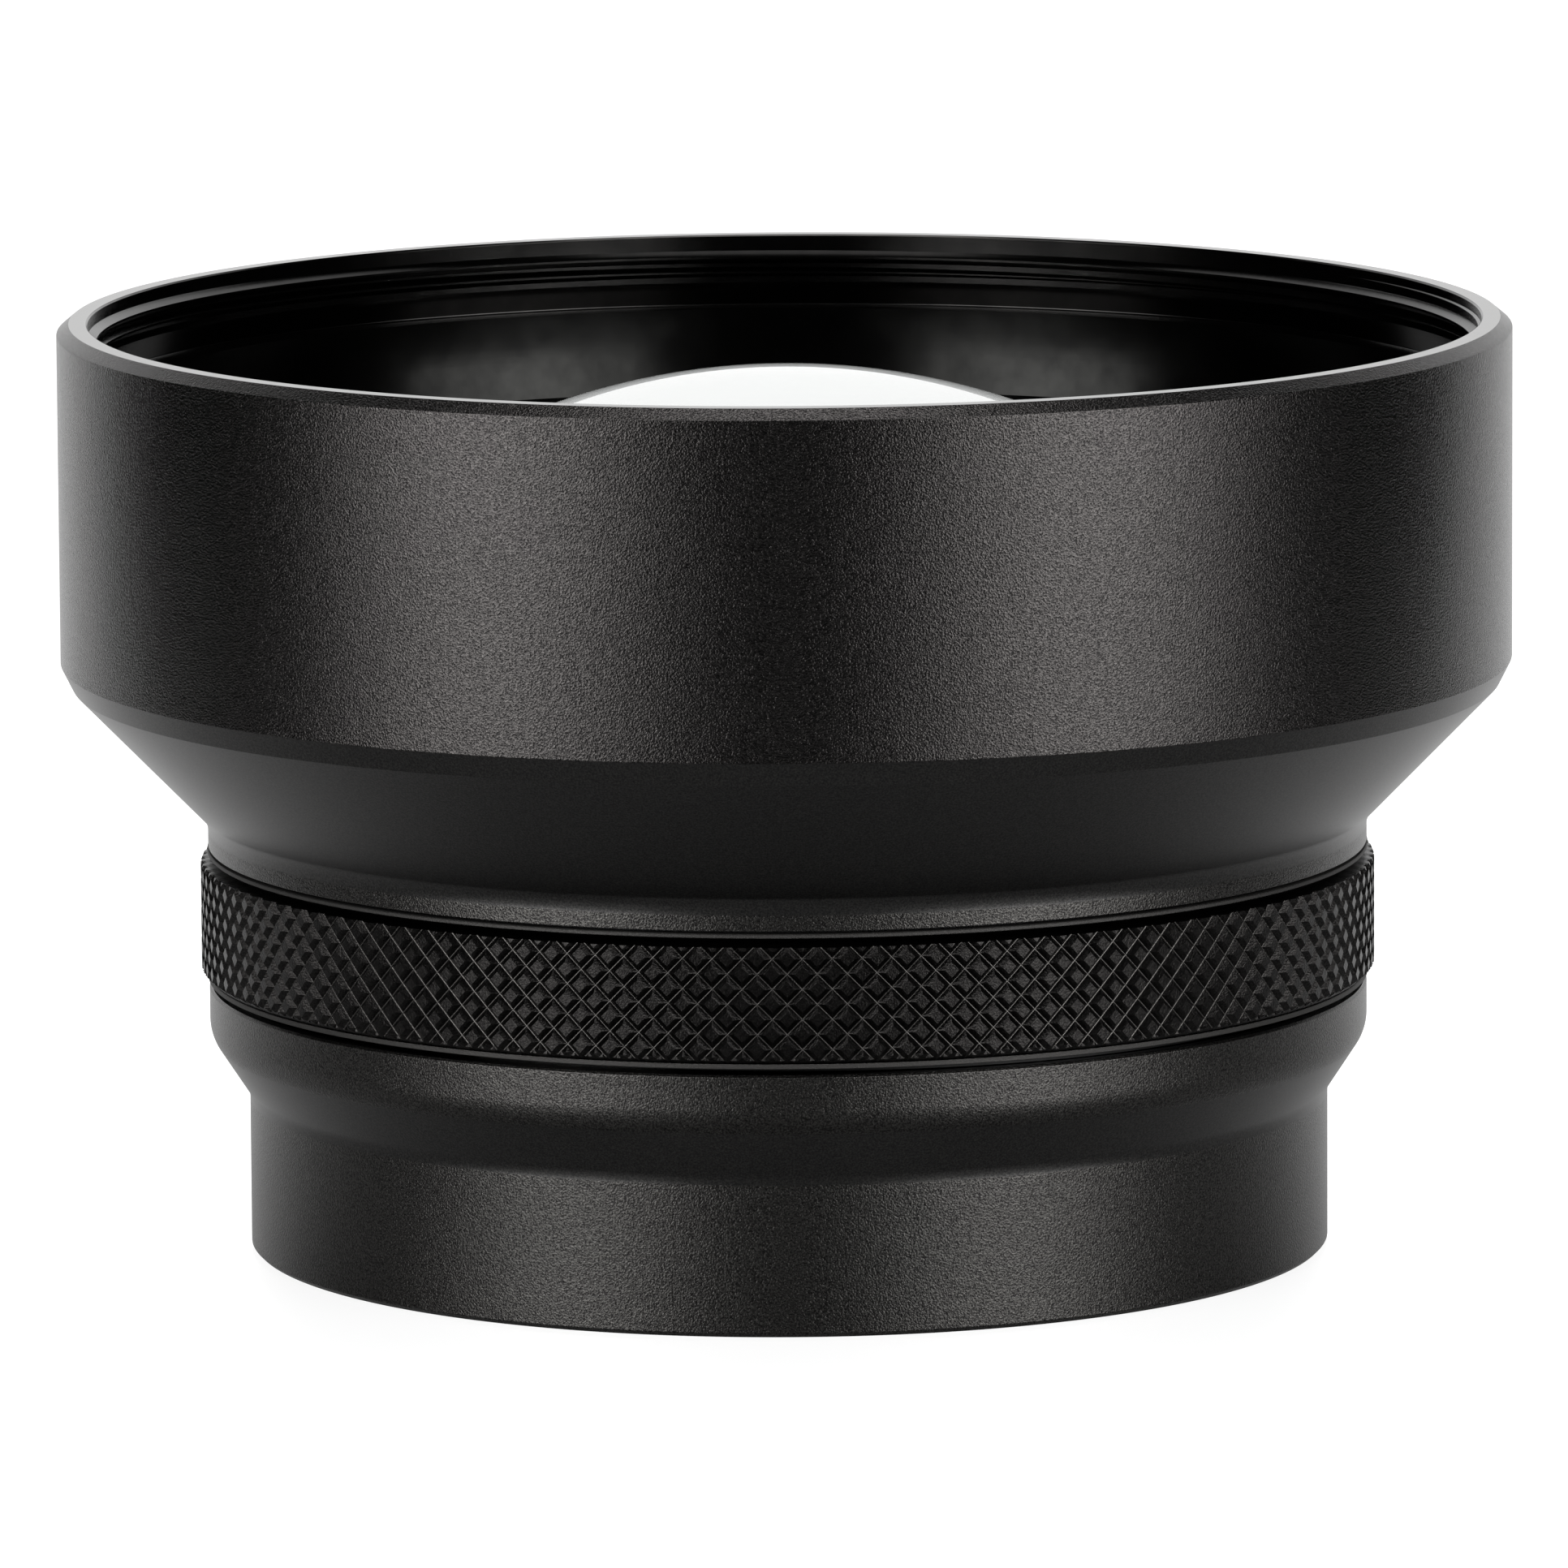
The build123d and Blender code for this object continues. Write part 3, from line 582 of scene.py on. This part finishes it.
# %% [markdown]
# ## The finish of the knurl
#
# The ring is knurled, skimmed, blasted and anodised. The flats are painted paler, painted light, and the walls
# darker, painted shade between the pyramids; the flats are also rougher. The roots of the grooves are painted paler
# too, a painted highlight for the light that their small rounds catch. The rounds in the roots and on the corners are
# too small for the mesh, and a bump adds them. Painting by height would do for flats and roots, but the distances
# that the mesh carries also find the corners between two walls.

# %% Finish the knurl
grain_height = 0.018
root_reach, root_rise = 0.25, 0.025
edge_reach, edge_rise = 0.3, -0.008


def knurl_finish():
    """Blasted anodising with small rounds, in millimetres of height, that the facets are too large to show.

    A groove's root is filled by the square of its nearness, and a pyramid's corner is worn down in the same way.
    """
    material, tree = new_material("aluminium_knurled_black_anodised_painted_light_and_shade")
    grain, speck = bead_dents(tree, add(tree, "TexCoord"))
    groove = add(tree, "Attribute", attribute_name="from_groove").outputs["Fac"]
    corner = add(tree, "Attribute", attribute_name="from_corner").outputs["Fac"]
    on_wall = add(tree, "MapRange", {"Value": groove, "From Min": flat_from, "From Max": flat_from - 0.2})
    near_root = add(tree, "MapRange", {"Value": groove, "From Min": root_reach, "From Max": 0.0})
    near_edge = add(tree, "MapRange", {"Value": corner, "From Min": edge_reach, "From Max": 0.0})
    root = add(tree, "Math", {0: near_root.outputs["Result"], 1: near_root.outputs["Result"]}, operation="MULTIPLY")
    worn = add(tree, "Math", {0: near_edge.outputs["Result"], 1: near_edge.outputs["Result"]}, operation="MULTIPLY")
    worn = add(tree, "Math", {0: worn.outputs[0], 1: on_wall.outputs["Result"]}, operation="MULTIPLY")
    height = add(tree, "Math", {0: grain.outputs["Fac"], 1: grain_height}, operation="MULTIPLY")
    height = add(tree, "Math", {0: root.outputs[0], 1: root_rise, 2: height.outputs[0]}, operation="MULTIPLY_ADD")
    height = add(tree, "Math", {0: worn.outputs[0], 1: edge_rise, 2: height.outputs[0]}, operation="MULTIPLY_ADD")
    rounds = add(tree, "Bump", {"Height": height.outputs[0], "Strength": 1.0, "Distance": MM})
    # The flats' paler colour is painted light, and the walls' darker colour is painted shade between the pyramids.
    flat_painted_light = add(tree, "Mix", {"Factor": speck.outputs["Result"], "A": colour("#4e4d4c"), "B": colour("#787674")},
                   data_type="RGBA")
    wall_painted_shade = add(tree, "Mix", {"Factor": speck.outputs["Result"], "A": colour("#1b1a1a"), "B": colour("#302f2e")},
                   data_type="RGBA")
    on_flat = add(tree, "MapRange", {"Value": groove, "From Min": flat_from - 0.15, "From Max": flat_from - 0.05})
    painted_light_and_shade = add(tree, "Mix", {"Factor": on_flat.outputs["Result"], "A": wall_painted_shade.outputs["Result"],
                             "B": flat_painted_light.outputs["Result"]}, data_type="RGBA")
    on_hem = add(tree, "MapRange", {"Value": groove, "From Min": cells / 2 + 0.5, "From Max": cells})
    hemmed = add(tree, "Mix", {"Factor": on_hem.outputs["Result"], "A": painted_light_and_shade.outputs["Result"],
                               "B": colour("#464544")}, data_type="RGBA")
    # Paler roots: a painted highlight for the light that the small rounds in the roots catch.
    tint = add(tree, "Mix", {"Factor": near_root.outputs["Result"], "A": hemmed.outputs["Result"],
                             "B": colour("#5c5a58")}, data_type="RGBA")
    rough = add(tree, "MapRange", {"Value": on_flat.outputs["Result"], "To Min": 0.32, "To Max": 0.6})
    surface = add(tree, "BsdfPrincipled", {"Base Color": tint.outputs["Result"], "Metallic": 1.0,
                                           "Roughness": rough.outputs["Result"],
                                           "Normal": rounds.outputs["Normal"]})
    add(tree, "OutputMaterial", {"Surface": surface.outputs[0]})
    return material


grip.data.materials.append(knurl_finish())
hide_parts("grip_ring")
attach(grip, "focus_ring")

# %% [markdown]
# ## The front cell
#
# The cell is the dark ring that slopes down to the glass. It is coated matt, because light that strikes it must
# not reach the picture. Its outline is closed, so it is a real ring with a seat for the glass, and not a cone.

# %% Turn the front cell
cell_inner_r = 26.3
cell_inner_z = cell_face_z - 2.5
cell_outer_r = bell_bore_r - 0.05
cell_foot_r = lens_r + 2.07
lip_r, lip_z = lens_r - 1.3, cell_low_z + 1.15
seat_r, seat_z = lens_r + 0.02, 32.14
sole = 0  # the finish of a piece that has only one
cell_outline = [
    (lip_r, cell_low_z, 0.05, sole),
    (cell_foot_r, cell_low_z, 0.05, sole),
    (cell_foot_r, cell_floor_z, 0.05, sole),
    (cell_outer_r, cell_floor_z, 0.05, sole),
    (cell_outer_r, cell_face_z, 0.05, sole),
    (cell_outer_r - 0.25, cell_face_z, 0.05, sole),
    (cell_inner_r, cell_inner_z, 0.08, sole),
    (cell_inner_r, seat_z, 0.03, sole),
    (seat_r, seat_z, 0.03, sole),
    (seat_r, lip_z, 0.03, sole),
    (lip_r, lip_z, 0.03, sole),
]
front_cell = turned("front_cell_shell", cell_outline)
front_cell.data.materials.append(matt_black_and_painted_shade)
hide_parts("front_cell")
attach(front_cell, "barrel")

# %% [markdown]
# ## The glass
#
# The front element is a strong dome. Seen from just above the rim it looks white: light from the bright
# background enters its far side, meets the cemented face so flat that it is reflected whole, and comes out
# towards the camera. Real refraction shows this by itself, so the glass is a true solid and not a painted disc.

# %% Coated optical glass
def glass_finish():
    """Clear crown glass with an index of 1.52 and a polish that leaves no haze."""
    material, tree = new_material("optical_glass_polished_and_coated")
    surface = add(tree, "BsdfPrincipled", {"Base Color": colour("#fbfdfc"), "Roughness": 0.0, "IOR": 1.52,
                                           "Transmission Weight": 1.0})
    add(tree, "OutputMaterial", {"Surface": surface.outputs[0]})
    return material


glass = glass_finish()

# %% [markdown]
# ## The front element
#
# Both faces of a lens are parts of spheres: a dome of 34.2 mm radius in front, and a shallow face behind that is
# cemented to the next glass. A cut from two solid spheres would do, but its facets would break up the refraction.
# Here each cap is a rounded corner of the outline, with the sphere as its radius, so its normals are exact.

# %% Grind the front element
dome_radius = 34.2
cement_radius = 110.0


def cap_corner(sphere_r, edge_r, apex):
    """The corner where the tangents at the axis and at the edge meet: rounding it by the sphere's radius gives
    the spherical cap. It lies at sphere_r * tan(half the cap's angle) from the axis, at the apex's height."""
    return (sphere_r * np.tan(np.arcsin(edge_r / sphere_r) / 2), apex, sphere_r, sole)


def sag(sphere_r, edge_r):
    """Depth of a spherical cap: R - sqrt(R * R - r * r)."""
    return sphere_r - np.sqrt(sphere_r ** 2 - edge_r ** 2)


dome_edge_z = apex_z - sag(dome_radius, lens_r)
cement_edge_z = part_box("front_crown_lens")[0].z / MM
cement_z = cement_edge_z + sag(cement_radius, lens_r)
dome_outline = [
    (0, cement_z, 0, sole),
    cap_corner(cement_radius, lens_r, cement_z),
    (lens_r, cement_edge_z, 0.05, sole),
    (lens_r, dome_edge_z, 0.08, sole),
    cap_corner(dome_radius, lens_r, apex_z),
    (0, apex_z, 0, sole),
]
dome = turned("front_element", dome_outline, closed=False)
dome.data.materials.append(glass)
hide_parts("front_crown_lens")
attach(dome, "barrel")

# %% [markdown]
# ## The pieces that stay as modelled
#
# The rest of the solid model is inside or behind, and its shapes are right. These pieces only get a finish. A
# fine noise gives each its grain, from the moulded skin of rubber to the smear of oxide on a spring. One flat
# colour would do where nothing shows, but the rear cell and its rings are seen from below.

# %% Finish the inner pieces
rough_drift = 0.08


def plain_finish(name, base, metallic, roughness, grain_mm, dent_depth):
    """A finish with one colour, a fine grain in its slope and a little drift in its roughness."""
    material, tree = new_material(name)
    place = add(tree, "TexCoord")
    grain = add(tree, "TexNoise", {"Vector": place.outputs["Object"], "Scale": 1 / (grain_mm * MM), "Detail": 3.0})
    dents = add(tree, "Bump", {"Height": grain.outputs["Fac"], "Strength": 1.0, "Distance": dent_depth * MM})
    rough = add(tree, "MapRange", {"Value": grain.outputs["Fac"], "To Min": roughness - rough_drift,
                                   "To Max": roughness + rough_drift})
    surface = add(tree, "BsdfPrincipled", {"Base Color": colour(base), "Metallic": metallic,
                                           "Roughness": rough.outputs["Result"],
                                           "Normal": dents.outputs["Normal"]})
    add(tree, "OutputMaterial", {"Surface": surface.outputs[0]})
    return material


finish_of_slot = {
    "optical_glass": glass,
    "turned_black": satin,
    "matte_black": matt_black_and_painted_shade,
    "blasted_black": blasted,
    "knurled_black": blasted,
    # A dull skin, without any highlight that has an edge.
    "seal_rubber": plain_finish("nitrile_rubber_moulded", "#161616", 0.0, 0.6, 0.3, 0.004),
    # The rollers are bright and yellow, and the only colour in the part.
    "brass": plain_finish("brass_turned", "#c9a44c", 1.0, 0.3, 0.4, 0.002),
    # Black oxide keeps the spring dark in the gap under the ring.
    "spring_steel": plain_finish("spring_steel_black_oxide", "#262626", 1.0, 0.45, 0.5, 0.001),
    # A blue-black steel, a little brighter than the anodising round it.
    "screw_steel": plain_finish("steel_blackened_screw", "#3a3938", 1.0, 0.35, 0.2, 0.002),
    # Carbon makes the washer black and leaves it waxy, so the gap above the ring stays dark.
    "washer_polymer": plain_finish("fluoropolymer_carbon_filled_skived", "#1c1c1d", 0.0, 0.5, 0.3, 0.002),
}
for part in frame["record"]["subparts"]:
    shape = nodes[part["node"]]
    shape.data.materials.clear()
    shape.data.materials.append(finish_of_slot[part["material_slot"]])

# %% [markdown]
# ## Floor and backdrop
#
# The part stands on a round pale table, and a white sheet hangs far behind it. Both glow for camera rays: the
# sheet is plain white, and the table a little less, so that the part's shadow stays as a very light grey. Rays
# that the metal or the glass sends on see the sheet as white too, and the table's far side. Close to the part they
# see the table as it is lit, with the shade under the bell. The table is small, so light also comes up past its
# edge, and the upright walls get their highlights from there. A wide floor would hide that light.

# %% Table and backdrop
table_r, table_thickness, table_edge = 200, 8, 3
table_outline = [
    (0, -table_thickness, 0, sole),
    (table_r, -table_thickness, table_edge, sole),
    (table_r, 0, table_edge, sole),
    (0, 0, 0, sole),
]
table = turned("table", table_outline, closed=False)


def hanging_sheet(name, distance, half_width, low_z, top_z, belly, across=24, up=12):
    """A sheet behind the part: y = distance - belly * (x / half_width)^2, straight up and down."""
    share = np.linspace(-1, 1, across + 1)
    x = np.tile(share * half_width, (up + 1, 1))
    y = np.tile(distance - belly * share ** 2, (up + 1, 1))
    z = np.tile(np.linspace(low_z, top_z, up + 1)[:, None], (1, across + 1))
    vertices = np.stack([x, y, z], -1).reshape(-1, 3)
    sheet = make_object(name, vertices, grid_quads(up + 1, across + 1, False, False).tolist())
    return sheet


backdrop = hanging_sheet("backdrop", distance=1300, half_width=1000, low_z=-700, top_z=1900, belly=300)

# %% White for the camera
def white_ground(name, roughness, near, far, lift):
    """A pale sheet that glows for camera rays, and that other sharp rays see as white beyond near..far in Y.

    A lift of 1 is white whatever falls on the sheet. A little less keeps the part's shadow as a light grey.
    """
    material, tree = new_material(name)
    rays = add(tree, "LightPath")
    place = add(tree, "TexCoord")
    apart = add(tree, "SeparateXYZ", {0: place.outputs["Object"]})
    behind = add(tree, "MapRange", {"Value": apart.outputs["Y"], "From Min": near * MM, "From Max": far * MM})
    mirrored = add(tree, "Math", {0: rays.outputs["Is Glossy Ray"], 1: rays.outputs["Is Transmission Ray"]},
                   operation="MAXIMUM")
    sent_on = add(tree, "Math", {0: mirrored.outputs[0], 1: behind.outputs["Result"]}, operation="MULTIPLY")
    lifted = add(tree, "Math", {0: rays.outputs["Is Camera Ray"], 1: lift}, operation="MULTIPLY")
    pale = add(tree, "BsdfPrincipled", {"Base Color": colour("#8c8c8c"), "Roughness": roughness, "IOR": 1.49})
    white = add(tree, "Emission", {"Color": colour("#ffffff"), "Strength": 1.0})
    glow = add(tree, "Emission", {"Color": colour("#ffffff"), "Strength": lifted.outputs[0]})
    both = add(tree, "MixShader", {0: sent_on.outputs[0], 1: pale.outputs[0], 2: white.outputs[0]})
    shown = add(tree, "AddShader", {0: both.outputs[0], 1: glow.outputs[0]})
    add(tree, "OutputMaterial", {"Surface": shown.outputs[0]})
    return material


# Polished acrylic mirrors the white behind it at a low angle. Paper is dull from every side.
table.data.materials.append(white_ground("acrylic_sheet_polished_white", 0.08, near=-30, far=70, lift=0.85))
backdrop.data.materials.append(white_ground("paper_matt_white", 0.9, near=0, far=100, lift=1.0))

# %% [markdown]
# ## Light
#
# Black metal shows its lamps more than itself. Two tall soft boxes stand in front, left and right, and draw the
# two broad upright highlights. Each has a narrow brighter core, because one even box would give the highlights
# hard edges. A small box overhead lights the chamfer of the rim. The world adds a little grey from all round.

# %% Soft boxes
def area_lamp(name, width, height, energy, pose):
    """A rectangular soft light that the camera doesn't see."""
    data = bpy.data.lights.new(name, "AREA")
    data.shape = "RECTANGLE"
    data.size, data.size_y = width, height
    data.energy = energy
    lamp = bpy.data.objects.new(name, data)
    lamp.matrix_world = pose
    lamp.visible_camera = False
    bpy.context.collection.objects.link(lamp)
    print(name, round(energy, 2), "W")


def soft_box(name, azimuth, distance, width, brightness, low_z=-0.45, height=1.2):
    """A tall soft light on an arc round the part. Its power is the brightness of its face times area times 4 pi."""
    angle = np.radians(azimuth)
    place = Vector((np.sin(angle) * distance, -np.cos(angle) * distance, low_z + height / 2))
    pose = Matrix.Translation(place) @ (place - aim).to_track_quat("Z", "Y").to_matrix().to_4x4()
    area_lamp(name, width, height, brightness * width * height * 4 * np.pi, pose)


for word, azimuth, width in (("left", -46.5, 0.60), ("right", 48, 0.65)):
    soft_box("soft_box_" + word, azimuth, 0.80, width, 0.95)
    soft_box("soft_box_core_" + word, azimuth, 0.78, 0.26, 0.5)
area_lamp("soft_box_above", 0.5, 0.3, 2.25, Matrix.Translation((0, -0.1, 0.8)))

# %% World
world = bpy.data.worlds.new("studio")
bpy.context.scene.world = world
world.use_nodes = True
studio = world.node_tree
studio.nodes.clear()
camera_ray = add(studio, "LightPath").outputs["Is Camera Ray"]
dim = add(studio, "Background", {"Color": colour("#181818"), "Strength": 1.0})
white = add(studio, "Background", {"Color": colour("#ffffff"), "Strength": 1.0})
seen = add(studio, "MixShader", {0: camera_ray, 1: dim.outputs[0], 2: white.outputs[0]})
add(studio, "OutputWorld", {"Surface": seen.outputs[0]})
bpy.context.scene.view_settings.view_transform = "Standard"
print("world:", world.name)
